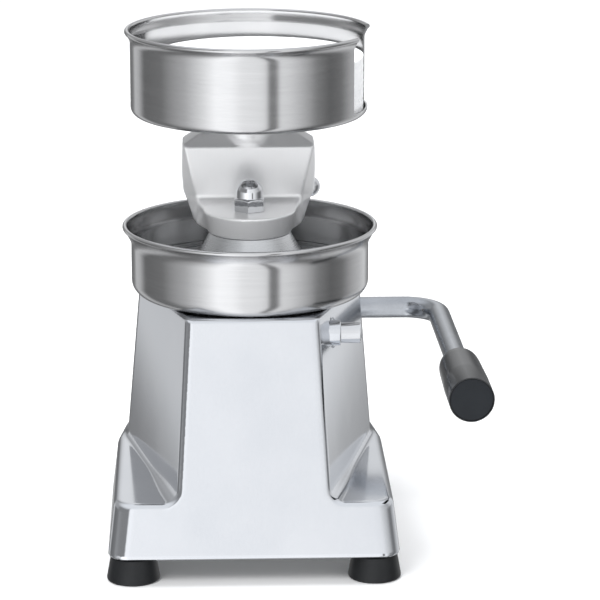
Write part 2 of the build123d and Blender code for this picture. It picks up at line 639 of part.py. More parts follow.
def fulcrum_pin():
    pin = rod_x(FULCRUM_R - 0.02, -FULCRUM_BLIND + 0.5, STUB_END_X, FULCRUM_Y, FULCRUM_Z)
    return chamfer(pin.edges(), 0.6)


def fulcrum_collars():
    hole = rod_x(FULCRUM_R, -60, 60, FULCRUM_Y, FULCRUM_Z)
    pairs = ((ROCKER_X0 - 6.5, ROCKER_X0 - 2.5), (-4.5, -0.5))
    return Compound([rod_x(10.0, x0, x1, FULCRUM_Y, FULCRUM_Z) - hole for x0, x1 in pairs])


# ---- export -------------------------------------------------------------------
def to_origin():
    """The move that puts the middle of the whole footprint at X = Y = 0."""
    x_low = FOOT_CENTRES["left_front"][0] - FOOT_R_BOTTOM
    y_low = FOOT_CENTRES["left_front"][1] - FOOT_R_BOTTOM
    x_high = LEVER_FRONT_X + GRIP_R * math.cos(math.radians(SPLAY))
    y_high = skirt_half(SKIRT_WIDEST_Z)[-1][1]
    return Pos(-(x_low + x_high) / 2, -(y_low + y_high) / 2, 0)


def all_nodes():
    nodes = {
        "base_housing": base_housing(), "bottom_cover": bottom_cover(),
        "cover_screws": cover_screws(), "foot_screws": foot_screws(),
        "lower_bowl": lower_bowl(), "bowl_screws": bowl_screws(), "patty_mould": patty_mould(),
        "ejector_disc": ejector_disc(), "ejector_stem": ejector_stem(), "stem_bush": stem_bush(),
        "press_plate": press_plate(), "press_plate_stud": press_plate_stud(),
        "stud_acorn_nut": stud_acorn_nut(), "head_block": head_block(),
        "hinge_pin": hinge_pin(), "hinge_washers": hinge_washers(),
        "hinge_jam_nut": hinge_jam_nut(), "hinge_acorn_nut": hinge_acorn_nut(),
        "paper_dish": paper_dish(),
        "dish_screws": dish_screws(), "paper_stack": paper_stack(), "column": column(),
        "column_upper_bush": column_upper_bush(), "column_lower_bush": column_lower_bush(),
        "crosshead": crosshead(), "crosshead_pin": crosshead_pin(),
        "trunnion_pin": trunnion_pin(), "lever_bar": lever_bar(), "crank_arm": crank_arm(),
        "crank_cross_pin": crank_cross_pin(), "crank_pin": crank_pin(),
        "crank_roller": crank_roller(),
        "shaft_bush_right": shaft_bush(SHAFT_BOSS_IN, SHAFT_BOSS_OUT),
        "shaft_bush_left": shaft_bush(-SHAFT_BLIND, -SHAFT_BLIND_IN),
        "shaft_collar": shaft_collar(), "collar_screw": collar_screw(), "grip": grip(),
        "grip_end_cap": grip_end_cap(), "rocker_arm": rocker_arm(),
        "fulcrum_pin": fulcrum_pin(), "fulcrum_collars": fulcrum_collars(),
    }
    for name, (x, y) in FOOT_CENTRES.items():
        nodes[f"foot_{name}"] = rubber_foot(x, y)
    return nodes


if __name__ == "__main__":
    os.makedirs("parts", exist_ok=True)
    for name, shape in all_nodes().items():
        export_step(to_origin() * shape, f"parts/{name}.step")
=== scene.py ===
import json
import math

import bpy
import numpy as np
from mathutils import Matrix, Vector


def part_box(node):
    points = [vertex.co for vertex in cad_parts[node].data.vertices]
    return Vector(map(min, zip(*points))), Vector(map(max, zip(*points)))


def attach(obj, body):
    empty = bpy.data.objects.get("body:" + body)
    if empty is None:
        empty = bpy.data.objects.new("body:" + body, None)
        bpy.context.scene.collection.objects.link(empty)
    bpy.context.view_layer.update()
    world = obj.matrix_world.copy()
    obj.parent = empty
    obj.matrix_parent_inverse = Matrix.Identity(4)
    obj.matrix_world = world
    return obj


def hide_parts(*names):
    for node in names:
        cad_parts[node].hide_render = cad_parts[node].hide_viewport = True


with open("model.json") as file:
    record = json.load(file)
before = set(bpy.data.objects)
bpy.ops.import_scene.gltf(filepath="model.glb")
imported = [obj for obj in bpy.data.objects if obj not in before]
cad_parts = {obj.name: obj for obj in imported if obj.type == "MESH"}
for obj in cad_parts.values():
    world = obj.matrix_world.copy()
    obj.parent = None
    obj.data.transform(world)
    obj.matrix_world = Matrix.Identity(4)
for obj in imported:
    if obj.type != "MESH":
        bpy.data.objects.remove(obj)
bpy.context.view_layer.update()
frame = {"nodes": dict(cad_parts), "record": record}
nodes = frame["nodes"]

# Lengths below are millimetres about the bowl's axis with the floor at z = 0. MM and
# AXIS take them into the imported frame, which is in metres.
MM = 0.001


def node_box(node):
    """A node's lowest and highest corners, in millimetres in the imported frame."""
    low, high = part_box(node)
    return np.array(low) / MM, np.array(high) / MM


MOULD_LOW, MOULD_HIGH = node_box("patty_mould")
AXIS = np.array([(MOULD_LOW[0] + MOULD_HIGH[0]) / 2, (MOULD_LOW[1] + MOULD_HIGH[1]) / 2, 0.0])


# ---- meshes -------------------------------------------------------------------
def volume(vertices, faces):
    """Six times the space inside a closed mesh: negative if its faces point inwards."""
    total = 0.0
    for face in faces:
        corners = vertices[list(face)]
        total += np.einsum("j,ij->", corners[0], np.cross(corners[1:-1], corners[2:]))
    return total


def add_mesh(name, vertices, faces, sharp_deg=None):
    """A smooth-shaded mesh object from millimetre vertices about the bowl's axis."""
    vertices = np.asarray(vertices, float).reshape(-1, 3)
    if volume(vertices, faces) < 0:
        faces = [tuple(reversed(f)) for f in faces]
    mesh = bpy.data.meshes.new(name)
    spots = [tuple(v) for v in (vertices + AXIS) * MM]
    mesh.from_pydata(spots, [], [tuple(int(i) for i in f) for f in faces])
    mesh.validate()
    mesh.update()
    mesh.shade_smooth()
    if sharp_deg is not None:
        mesh.set_sharp_from_angle(angle=math.radians(sharp_deg))
    piece = bpy.data.objects.new(name, mesh)
    bpy.context.scene.collection.objects.link(piece)
    return piece


def place(piece, body, material, slot, *replaced):
    """Rides a finished piece on its body in place of the CAD nodes that it stands for."""
    piece.data.materials.clear()
    piece.data.materials.append(material)
    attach(piece, body)
    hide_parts(*replaced)
    return piece


def rounded_path(corners, steps=10):
    """Points along an open path whose (x, y, radius) corners are turned into arcs."""
    path = [np.array(corners[0][:2], float)]
    for before, here, after in zip(corners, corners[1:], corners[2:]):
        p, a, b = (np.array(c[:2], float) for c in (here, before, after))
        radius = here[2] if len(here) > 2 else 0.0
        to_a, to_b = (a - p) / np.linalg.norm(a - p), (b - p) / np.linalg.norm(b - p)
        half = math.acos(float(np.clip(to_a @ to_b, -1, 1))) / 2
        if radius <= 0 or math.pi / 2 - half < 0.01:
            path.append(p)
            continue
        middle = (to_a + to_b) / np.linalg.norm(to_a + to_b)
        centre = p + middle * radius / math.sin(half)
        start = p + to_a * radius / math.tan(half) - centre
        end = p + to_b * radius / math.tan(half) - centre
        turn = math.atan2(start[0] * end[1] - start[1] * end[0], start @ end)
        for k in range(steps + 1):
            c, s = math.cos(turn * k / steps), math.sin(turn * k / steps)
            path.append(centre + np.array([c * start[0] - s * start[1], s * start[0] + c * start[1]]))
    path.append(np.array(corners[-1][:2], float))
    return path


def directions(path):
    """Unit directions along a list of points, whatever their spacing."""
    steps = np.diff(path, axis=0)
    steps /= np.linalg.norm(steps, axis=1)[:, None]
    along = np.concatenate([steps[:1], steps[:-1] + steps[1:], steps[-1:]])
    return along / np.linalg.norm(along, axis=1)[:, None]


def lathe(name, profile, centre=(0, 0, 0), axis="Z", steps=128, sharp_deg=40, turn=0.0):
    """Turns a closed (radius, height) profile about an axis. Points on the axis are poles."""
    rings, vertices = [], []
    for r, h in profile:
        if r < 1e-6:
            rings.append([len(vertices)])
            vertices.append((0.0, 0.0, h))
            continue
        rings.append(list(range(len(vertices), len(vertices) + steps)))
        angles = np.arange(steps) * 2 * math.pi / steps
        vertices.extend(zip(r * np.cos(angles), r * np.sin(angles), [h] * steps))
    faces = []
    for i, low in enumerate(rings):
        high = rings[(i + 1) % len(rings)]
        for k in range(steps):
            n = (k + 1) % steps
            corners = [low[k % len(low)], low[n % len(low)], high[n % len(high)], high[k % len(high)]]
            face = list(dict.fromkeys(corners))
            if len(face) > 2:
                faces.append(face)
    turned = np.array(vertices)
    if axis == "Y":
        turned = turned[:, [0, 2, 1]] * [1, 1, -1]
    if axis == "X":
        turned = turned[:, [2, 1, 0]] * [1, 1, -1]
    c, s = math.cos(turn), math.sin(turn)
    turned = turned @ np.array([[c, s, 0], [-s, c, 0], [0, 0, 1]])
    return add_mesh(name, turned + np.array(centre, float), faces, sharp_deg)


def tube_faces(rings, steps):
    """Quads between rings of vertices, one after another, with a cap at each end."""
    faces = [(i * steps + k, i * steps + (k + 1) % steps, (i + 1) * steps + (k + 1) % steps,
              (i + 1) * steps + k) for i in range(rings - 1) for k in range(steps)]
    last = (rings - 1) * steps
    faces.append(tuple(reversed(range(steps))))
    faces.append(tuple(range(last, last + steps)))
    return faces


def sweep(name, path, radius, steps=48, sharp_deg=40):
    """A round bar along a list of points in one level plane, closed at both ends."""
    path = np.array(path, float)
    along = directions(path)
    up = np.array([0.0, 0.0, 1.0])
    side = np.cross(along, up)
    angles = np.arange(steps) * 2 * math.pi / steps
    rings = [p + radius * (np.outer(np.cos(angles), s) + np.outer(np.sin(angles), up))
             for p, s in zip(path, side)]
    return add_mesh(name, np.concatenate(rings), tube_faces(len(rings), steps), sharp_deg)


# ---- shapes as signed fields ----------------------------------------------------
def round_max(a, b, r):
    """Intersection of two fields with the edge between them rounded to radius r."""
    return np.minimum(np.maximum(a, b), -r) + np.hypot(np.maximum(r + a, 0), np.maximum(r + b, 0))


def round_min(a, b, r):
    """Union of two fields with the corner between them filled to radius r."""
    return np.maximum(np.minimum(a, b), r) - np.hypot(np.maximum(r - a, 0), np.maximum(r - b, 0))


def smooth_step(value, low, high):
    t = np.clip((value - low) / (high - low), 0, 1)
    return t * t * (3 - 2 * t)


def rod(p, axis, centre, radius, low, high, edge=0.5):
    """A cylinder along axis 0, 1 or 2 through centre, from low to high."""
    others = [k for k in range(3) if k != axis]
    radial = np.hypot(p[:, others[0]] - centre[others[0]], p[:, others[1]] - centre[others[1]]) - radius
    ends = np.maximum(low - p[:, axis], p[:, axis] - high)
    return round_max(radial, ends, edge)


def edge_fields(u, v, corners):
    """Distance outside each edge of a convex outline, listed anticlockwise."""
    fields = []
    for (u0, v0), (u1, v1) in zip(corners, corners[1:]):
        du, dv = u1 - u0, v1 - v0
        fields.append(((u - u0) * dv - (v - v0) * du) / np.hypot(du, dv))
    return fields


def between(low, high, t):
    """Outline corners at the share t of the way from one outline to another."""
    return [(a + (c - a) * t, b + (d - b) * t) for (a, b), (c, d) in zip(low, high)]


def net_faces(inside, index):
    """Quads across every grid edge that the surface crosses."""
    faces = []
    for axis in range(3):
        a, b = [k for k in range(3) if k != axis]
        first = np.moveaxis(inside, [axis, a, b], [0, 1, 2])
        cells = np.moveaxis(index, [axis, a, b], [0, 1, 2])
        here, there = first[:-1, 1:-1, 1:-1], first[1:, 1:-1, 1:-1]
        quad = np.stack([cells[:, :-1, :-1], cells[:, 1:, :-1], cells[:, 1:, 1:], cells[:, :-1, 1:]], -1)
        outward, inward = here & ~there, ~here & there
        flip = axis == 1
        faces.append(quad[outward][:, ::-1] if flip else quad[outward])
        faces.append(quad[inward] if flip else quad[inward][:, ::-1])
    return np.concatenate(faces)


def net_vertices(values, inside, mixed, axes):
    """One vertex in each mixed cell, at the mean of its edge crossings."""
    shape = mixed.shape
    total = np.zeros(shape + (3,))
    count = np.zeros(shape)
    for axis in range(3):
        a, b = [k for k in range(3) if k != axis]
        for i in (0, 1):
            for j in (0, 1):
                low = [slice(0, n) for n in shape]
                low[a] = slice(i, shape[a] + i)
                low[b] = slice(j, shape[b] + j)
                high = list(low)
                high[axis] = slice(1, shape[axis] + 1)
                v0, v1 = values[tuple(low)], values[tuple(high)]
                cross = inside[tuple(low)] != inside[tuple(high)]
                t = np.where(cross, v0 / np.where(cross, v0 - v1, 1), 0)
                spot = np.zeros(shape + (3,))
                spot[..., axis], spot[..., a], spot[..., b] = t, i, j
                total += spot * cross[..., None]
                count += cross
    cell = axes[0][1] - axes[0][0]
    base = np.stack(np.meshgrid(*[x[:-1] for x in axes], indexing="ij"), -1)
    return (base + cell * total / np.maximum(count, 1)[..., None])[mixed]


def settle(points, field, rounds, reach):
    """Slides points along the field's slope onto its zero."""
    eps = 0.02
    for _ in range(rounds):
        value = field(points)
        slope = np.stack([(field(points + d) - field(points - d)) / (2 * eps)
                          for d in np.eye(3) * eps], -1)
        step = value[:, None] * slope / np.maximum((slope ** 2).sum(1), 0.05)[:, None]
        length = np.linalg.norm(step, axis=1)[:, None]
        points = points - step * np.minimum(1, reach / np.maximum(length, 1e-9))
    return points


def relax(points, faces, share):
    """Moves each vertex part of the way to the mean of its neighbours."""
    total, count = np.zeros_like(points), np.zeros(len(points))
    for k in range(4):
        a, b = faces[:, k], faces[:, (k + 1) % 4]
        for here, there in ((a, b), (b, a)):
            for c in range(3):
                total[:, c] += np.bincount(here, points[there, c], len(points))
            count += np.bincount(here, minlength=len(points))
    return points + share * (total / count[:, None] - points)


def field_mesh(name, field, low, high, cell, sharp_deg=None):
    """A closed mesh of quads on the zero of a signed field, negative inside."""
    axes = [np.arange(a - 1.5 * cell, b + 2.5 * cell, cell) for a, b in zip(low, high)]
    grid = np.stack(np.meshgrid(*axes, indexing="ij"), -1)
    values = field(grid.reshape(-1, 3)).reshape(grid.shape[:3])
    inside = values < 0
    corners = [inside[i:inside.shape[0] - 1 + i, j:inside.shape[1] - 1 + j, k:inside.shape[2] - 1 + k]
               for i in (0, 1) for j in (0, 1) for k in (0, 1)]
    mixed = np.logical_or.reduce(corners) & ~np.logical_and.reduce(corners)
    index = np.full(mixed.shape, -1)
    index[mixed] = np.arange(mixed.sum())
    points = net_vertices(values, inside, mixed, axes)
    faces = net_faces(inside, index)
    points = settle(points, field, 3, cell)
    for _ in range(3):
        points = settle(relax(points, faces, 0.5), field, 2, cell)
    return add_mesh(name, settle(points, field, 3, cell), faces, sharp_deg)


# ---- materials ------------------------------------------------------------------
class Shader:
    """A Principled material and short calls that add nodes to it."""

    def __init__(self, name, **sockets):
        self.material = bpy.data.materials.new(name)
        self.material.use_nodes = True
        self.tree = self.material.node_tree
        self.bsdf = self.tree.nodes["Principled BSDF"]
        for socket, value in sockets.items():
            self.bsdf.inputs[socket.replace("_", " ")].default_value = value

    def node(self, kind, inputs=None, **settings):
        made = self.tree.nodes.new("ShaderNode" + kind)
        for key, value in settings.items():
            setattr(made, key, value)
        for key, value in (inputs or {}).items():
            if isinstance(value, bpy.types.NodeSocket):
                self.tree.links.new(value, made.inputs[key])
            else:
                made.inputs[key].default_value = value
        return made

    def place(self):
        return self.node("TexCoord").outputs["Object"]

    def stretched(self, vector, scale, location=(0, 0, 0)):
        return self.node("Mapping", {"Vector": vector, "Scale": scale, "Location": location}).outputs[0]

    def noise(self, vector, scale, detail=2.0, roughness=0.5):
        made = self.node("TexNoise", {"Vector": vector, "Scale": scale, "Detail": detail,
                                      "Roughness": roughness})
        return made.outputs["Fac"]

    def ranged(self, value, low, high, from_low=0.3, from_high=0.7):
        return self.node("MapRange", {"Value": value, "From Min": from_low, "From Max": from_high,
                                      "To Min": low, "To Max": high}).outputs[0]

    def math(self, operation, a, b=0.0):
        return self.node("Math", {0: a, 1: b}, operation=operation).outputs[0]

    def colours(self, value, low, high):
        ramp = self.node("ValToRGB", {"Fac": value})
        ramp.color_ramp.elements[0].position = 0.3
        ramp.color_ramp.elements[1].position = 0.7
        ramp.color_ramp.elements[0].color = (*low, 1)
        ramp.color_ramp.elements[1].color = (*high, 1)
        return ramp.outputs["Color"]

    def bump(self, height, strength, distance, below=None):
        inputs = {"Height": height, "Strength": strength, "Distance": distance}
        if below is not None:
            inputs["Normal"] = below
        return self.node("Bump", inputs).outputs[0]

    def use(self, **links):
        for socket, value in links.items():
            self.tree.links.new(value, self.bsdf.inputs[socket.replace("_", " ")])
        return self.material


def cast_metal(name, low, high, rough, grain, metallic=1.0):
    """Polished casting: soft waves left by the buff, fine pits and a cloudy sheen."""
    s = Shader(name, Metallic=metallic)
    spot = s.place()
    cloud = s.noise(spot, 24.0, 3.0)
    buff = s.noise(s.stretched(spot, (1.0, 1.0, 0.06)), 1500.0, 2.0)
    pits = s.noise(spot, 2600.0, 2.0, 0.6)
    mixed = s.math("ADD", s.math("MULTIPLY", cloud, 0.65), s.math("MULTIPLY", buff, 0.35))
    waves = s.bump(s.noise(spot, 20.0, 1.0), 0.05, 0.0006)
    fine = s.math("ADD", s.math("MULTIPLY", buff, 0.5), s.math("MULTIPLY", pits, 0.5))
    normal = s.bump(fine, grain, 0.0001, waves)
    return s.use(Base_Color=s.colours(mixed, low, high), Roughness=s.ranged(mixed, *rough), Normal=normal)


def turned_metal(name, low, high, rough, grain, lines=3000.0, lean=0.0):
    """Metal brushed or turned round an upright axis: fine rings in colour, gloss and bump."""
    s = Shader(name, Metallic=1.0, Anisotropic=lean, Anisotropic_Rotation=0.25 if lean else 0.0)
    spot = s.stretched(s.place(), (1, 1, 1), tuple(-AXIS * MM))
    split = s.node("SeparateXYZ", {0: spot})
    x, y, z = (split.outputs[k] for k in range(3))
    angle = s.math("ARCTAN2", y, x)
    radius = s.math("SQRT", s.math("ADD", s.math("MULTIPLY", x, x), s.math("MULTIPLY", y, y)))
    around = s.node("CombineXYZ", {0: s.math("MULTIPLY", angle, 0.0009), 1: z, 2: radius}).outputs[0]
    rings = s.noise(around, lines, 3.0, 0.6)
    broad = s.noise(around, lines / 12, 2.0, 0.5)
    smear = s.noise(spot, 30.0, 2.0)
    mixed = s.math("ADD", s.math("MULTIPLY", rings, 0.55),
                   s.math("ADD", s.math("MULTIPLY", broad, 0.3), s.math("MULTIPLY", smear, 0.15)))
    if lean:
        tangent = s.node("Tangent", direction_type="RADIAL", axis="Z").outputs[0]
        s.tree.links.new(tangent, s.bsdf.inputs["Tangent"])
    return s.use(Base_Color=s.colours(mixed, low, high), Roughness=s.ranged(mixed, *rough),
                 Normal=s.bump(rings, grain, 0.0001))


def plated_metal(name, low, high, rough, scale=900.0, grain=0.05):
    """Smooth plated steel with faint clouds and handling marks."""
    s = Shader(name, Metallic=1.0)
    spot = s.place()
    cloud = s.noise(spot, 45.0, 3.0)
    marks = s.noise(spot, scale, 3.0, 0.65)
    mixed = s.math("ADD", s.math("MULTIPLY", cloud, 0.6), s.math("MULTIPLY", marks, 0.4))
    return s.use(Base_Color=s.colours(mixed, low, high), Roughness=s.ranged(mixed, *rough),
                 Normal=s.bump(marks, grain, 0.0001))


def moulded(name, low, high, rough, grain, scale=1800.0, **sockets):
    """Plastic, rubber or paint: a fine moulded texture under slightly uneven gloss."""
    s = Shader(name, **sockets)
    spot = s.place()
    fine = s.noise(spot, scale, 3.0, 0.6)
    cloud = s.noise(spot, 55.0, 3.0)
    mixed = s.math("ADD", s.math("MULTIPLY", cloud, 0.6), s.math("MULTIPLY", fine, 0.4))
    return s.use(Base_Color=s.colours(mixed, low, high), Roughness=s.ranged(mixed, *rough),
                 Normal=s.bump(fine, grain, 0.0001))


def paper_material():
    s = Shader("waxed_paper", Specular_IOR_Level=0.3)
    spot = s.place()
    fibre = s.noise(spot, 1200.0, 4.0, 0.7)
    sheets = s.noise(s.stretched(spot, (0.02, 0.02, 1.0)), 2600.0, 1.0)
    mixed = s.math("ADD", s.math("MULTIPLY", fibre, 0.4), s.math("MULTIPLY", sheets, 0.6))
    return s.use(Base_Color=s.colours(mixed, (0.86, 0.87, 0.88), (0.96, 0.96, 0.96)),
                 Roughness=s.ranged(fibre, 0.45, 0.6), Normal=s.bump(fibre, 0.12, 0.0001))


CAST = cast_metal("cast_aluminium", (0.68, 0.70, 0.735), (0.74, 0.755, 0.785), (0.09, 0.13), 0.02)
# The head's copy of the cast aluminium is lighter and only partly metallic: a painted highlight that makes
# the whole head read brighter than the base casting.
HEAD_PAINTED_BRIGHT = cast_metal("cast_aluminium_head_painted_bright", (0.90, 0.905, 0.91), (0.95, 0.95, 0.955), (0.28, 0.36), 0.06, 0.55)
STEEL = turned_metal("brushed_stainless", (0.56, 0.56, 0.565), (0.65, 0.65, 0.655), (0.17, 0.23), 0.02,
                     lean=0.85)
TURNED = turned_metal("turned_aluminium", (0.55, 0.56, 0.57), (0.70, 0.71, 0.72), (0.22, 0.34), 0.06,
                      lines=2200.0)
CHROME = plated_metal("bright_chrome", (0.66, 0.67, 0.69), (0.76, 0.77, 0.79), (0.05, 0.10), grain=0.02)
PLATED = plated_metal("satin_plated_steel", (0.37, 0.39, 0.42), (0.50, 0.52, 0.55), (0.14, 0.24))
ZINC = plated_metal("zinc_plated_steel", (0.45, 0.46, 0.47), (0.60, 0.61, 0.61), (0.28, 0.42))
IRON = cast_metal("cast_iron", (0.09, 0.09, 0.095), (0.17, 0.17, 0.175), (0.45, 0.62), 0.35)
BRONZE = turned_metal("sintered_bronze", (0.38, 0.25, 0.11), (0.52, 0.36, 0.18), (0.32, 0.45), 0.08)
GRIP = moulded("gloss_black_plastic", (0.006, 0.007, 0.008), (0.010, 0.011, 0.013), (0.10, 0.16), 0.02,
               Specular_IOR_Level=0.6)
CAP = moulded("matt_black_plastic", (0.009, 0.011, 0.014), (0.017, 0.020, 0.024), (0.50, 0.62), 0.10,
              Specular_IOR_Level=0.25)
RUBBER = moulded("black_rubber", (0.007, 0.008, 0.009), (0.014, 0.015, 0.017), (0.38, 0.50), 0.12,
                 Specular_IOR_Level=0.35)
PAPER = paper_material()

SLOT_MATERIALS = {"cast_aluminium": CAST, "turned_aluminium": TURNED, "zinc_steel": ZINC, "stainless": STEEL,
                  "chromed_steel": CHROME, "plated_steel": PLATED, "black_plastic": GRIP,
                  "matt_black_plastic": CAP, "paper": PAPER, "cast_iron": IRON, "bronze": BRONZE,
                  "black_rubber": RUBBER}

# ---- base casting -----------------------------------------------------------------
BASE_BOTTOM, COVER_Z, SKIRT_TOP, DECK = 17.0, 20.5, 51.0, 163.0
WALL = 5.0
LEAN = 0.3                   # how far the front face runs back for each millimetre it rises
STUB_BOSS_R, STUB_BOSS_OUT = 8.3, 57.4
SHAFT_BOSS_R, COLUMN_BOSS_R = 12.5, 17.0
TOWER_TOP = [(41.6, -75.25), (73.0, 18.0), (70.0, 80.0), (60.0, 125.0), (38.0, 144.0)]
TOWER_FOOT = [(48.5, -108.85), (83.0, 47.0), (80.0, 82.0), (68.0, 127.0), (46.0, 151.0)]
SKIRT_HIGH = [(88.9, -108.85), (88.9, 40.0), (84.0, 76.0), (73.5, 125.0), (50.0, 156.0)]
SKIRT_LOW = [(93.0, -119.05), (93.0, 42.0), (88.0, 80.0), (77.5, 129.0), (53.0, 160.8)]
COLUMN_Y = 98.0
SHAFT_Y, SHAFT_Z = 128.0, 117.0
FULCRUM_Y, FULCRUM_Z = -48.5, 146.5
FOOT_PLACES = {"left_front": (-77.0, -102.6), "right_front": (77.0, -102.6),
               "left_rear": (-62.0, 122.0), "right_rear": (62.0, 122.0)}
COVER_SCREWS = [(-72.0, -30.0), (72.0, -30.0), (-74.0, 70.0), (74.0, 70.0)]


def side_and_rear(p, foot, top, z_foot, z_top, edge_radii):
    """The fields of an outline's sides and rear, all but the front, joined by rounded edges."""
    share = (p[:, 2] - z_foot) / (z_top - z_foot)
    corners = between(foot, top, share)
    corners.append((np.zeros(len(p)), corners[-1][1]))
    fields = edge_fields(np.abs(p[:, 0]), p[:, 1], corners)
    result = fields[0]
    for field, radius in zip(fields[1:], edge_radii):
        result = round_max(result, field, radius)
    return result


def tower_sides(p):
    return side_and_rear(p, TOWER_FOOT, TOWER_TOP, SKIRT_TOP, DECK, (1.2, 0.8, 1.6, 1.6))


def skirt_sides(p):
    return side_and_rear(p, SKIRT_LOW, SKIRT_HIGH, BASE_BOTTOM, SKIRT_TOP, (0.8, 0.8, 2.0, 4.0))


def front_field(p):
    """Distance in front of the sloping face that tower and skirt share."""
    return (SKIRT_LOW[0][1] + LEAN * (p[:, 2] - BASE_BOTTOM) - p[:, 1]) / math.hypot(1, LEAN)


def base_outer(p):
    z, front = p[:, 2], front_field(p)
    tower = round_max(round_max(tower_sides(p), z - DECK, 1.8), front, 3.0)
    skirt = round_max(round_max(skirt_sides(p), front, 13.0), z - SKIRT_TOP, 3.5)
    fillet = 3.0 + 5.0 * smooth_step(-p[:, 1], 20, 95)
    body = np.maximum(round_min(tower, skirt, fillet), front)
    return round_max(body, BASE_BOTTOM - z, 1.5)


def base_inner(p):
    tower = round_max(tower_sides(p) + WALL, p[:, 2] - (DECK - WALL), 2.0)
    skirt = round_max(skirt_sides(p) + WALL + 1, p[:, 2] - (SKIRT_TOP - WALL), 2.0)
    return round_max(np.minimum(tower, skirt), front_field(p) + WALL, 2.0)


def base_field(p):
    outer = base_outer(p)
    shell = round_max(outer, -base_inner(p), 0.3)
    column, shaft, fulcrum = (0, COLUMN_Y, 0), (0, SHAFT_Y, SHAFT_Z), (0, FULCRUM_Y, FULCRUM_Z)
    inside = [rod(p, 2, column, COLUMN_BOSS_R, 150.0, DECK),
              np.maximum(np.abs(p[:, 1] - COLUMN_Y) - 14, np.abs(p[:, 2] - 50.0) - 8),
              rod(p, 0, shaft, SHAFT_BOSS_R, 42.3, 90), rod(p, 0, shaft, SHAFT_BOSS_R, -90, -32.0),
              rod(p, 0, fulcrum, 10.0, 40.0, 90), rod(p, 0, fulcrum, 10.0, -90, -40.0)]
    inside += [rod(p, 2, (x, y, 0), 10.5, COVER_Z + 2, SKIRT_TOP - 1) for x, y in FOOT_PLACES.values()]
    inside += [rod(p, 2, (x, y, 0), 17.4, 10.0, COVER_Z) for x, y in FOOT_PLACES.values()]
    inside += [rod(p, 2, (x, y, 0), 5.0, COVER_Z + 2, SKIRT_TOP - 1) for x, y in COVER_SCREWS]
    for boss in inside:
        shell = round_min(shell, boss, 1.5)
    shell = np.maximum(shell, outer)
    shell = round_min(shell, rod(p, 2, column, COLUMN_BOSS_R, DECK - 2, 165.5, 0.8), 1.0)
    shell = round_min(shell, rod(p, 0, shaft, SHAFT_BOSS_R, 50, 68.0, 1.0), 2.5)
    holes = [rod(p, 2, column, 13.5, 37, 200), rod(p, 2, (0, 0, 0), 9.5, 150, 170),
             rod(p, 0, shaft, 10.0, -46.0, 80), rod(p, 0, fulcrum, 6.75, -47.0, 42.0),
             rod(p, 0, fulcrum, 7.5, 40.0, 80)]
    holes += [rod(p, 2, (x, y, 0), 12.8, 10.0, COVER_Z) for x, y in FOOT_PLACES.values()]
    for hole in holes:
        shell = round_max(shell, -hole, 0.3)
    return shell


def make_base():
    cell = 1.6
    piece = field_mesh("base_casting", base_field, (-93.5, -119.5, BASE_BOTTOM), (93.5, 161.5, 165.6), cell)
    place(piece, "base", CAST, "cast_aluminium", "base_housing")
    bore, back = 6.75, 42.0
    profile = rounded_path([(bore, back), (STUB_BOSS_R, back), (STUB_BOSS_R, STUB_BOSS_OUT, 0.9),
                            (bore, STUB_BOSS_OUT, 0.3), (bore, back)], 6)[:-1]
    boss = lathe("fulcrum_boss_casting", profile, (0, FULCRUM_Y, FULCRUM_Z), axis="X", steps=96)
    place(boss, "base", CAST, "cast_aluminium", "base_housing")


# ---- feet -------------------------------------------------------------------------
def make_feet():
    for name, (x, y) in FOOT_PLACES.items():
        profile = rounded_path([(3.2, 8.0), (6.5, 8.0, 0.5), (6.5, 0.0, 0.8), (17.3, 0.0, 1.6),
                                (14.4, 15.8, 0.8), (12.4, 16.9, 0.5), (11.6, COVER_Z), (3.2, COVER_Z)], 6)
        foot = lathe(f"rubber_foot_{name}", profile, (x, y, 0), steps=72)
        place(foot, "base", RUBBER, "black_rubber", f"foot_{name}")


# ---- bowls, mould, press plate ------------------------------------------------------
SHEET = 1.2


def sheet_profile(corners, bead=1.5):
    """The closed profile of pressed sheet with a rolled bead at its upper edge."""
    outer = np.array(rounded_path(corners, 14))
    along = directions(outer)
    inner = outer + np.stack([-along[:, 1], along[:, 0]], -1) * SHEET
    end = (outer[-1] + inner[-1]) / 2 + along[-1] * bead * 0.6
    start = math.atan2(*(outer[-1] - end)[::-1])
    stop = math.atan2(*(inner[-1] - end)[::-1])
    if stop < start:
        stop += 2 * math.pi
    steps = 20
    angles = [start + (stop - start) * k / steps for k in range(steps + 1)]
    circle = [end + bead * np.array([math.cos(a), math.sin(a)]) for a in angles]
    return list(outer[:-1]) + circle + list(inner[::-1][1:])


def make_lower_bowl():
    corners = [(12.0, 163.0), (77.7, 163.0, 9.0), (77.7, 197.5, 10.0), (82.0, 206.0)]
    bowl = lathe("steel_bowl", sheet_profile(corners), steps=192, sharp_deg=50)
    place(bowl, "base", STEEL, "stainless", "lower_bowl")


def cut(piece, cutter):
    """Takes the cutter's space out of the piece for good."""
    step = piece.modifiers.new("cut", "BOOLEAN")
    step.operation = "DIFFERENCE"
    step.solver = "EXACT"
    step.object = cutter
    graph = bpy.context.evaluated_depsgraph_get()
    result = bpy.data.meshes.new_from_object(piece.evaluated_get(graph))
    piece.modifiers.clear()
    old = piece.data
    piece.data = result
    bpy.data.meshes.remove(old)
    bpy.data.objects.remove(cutter)


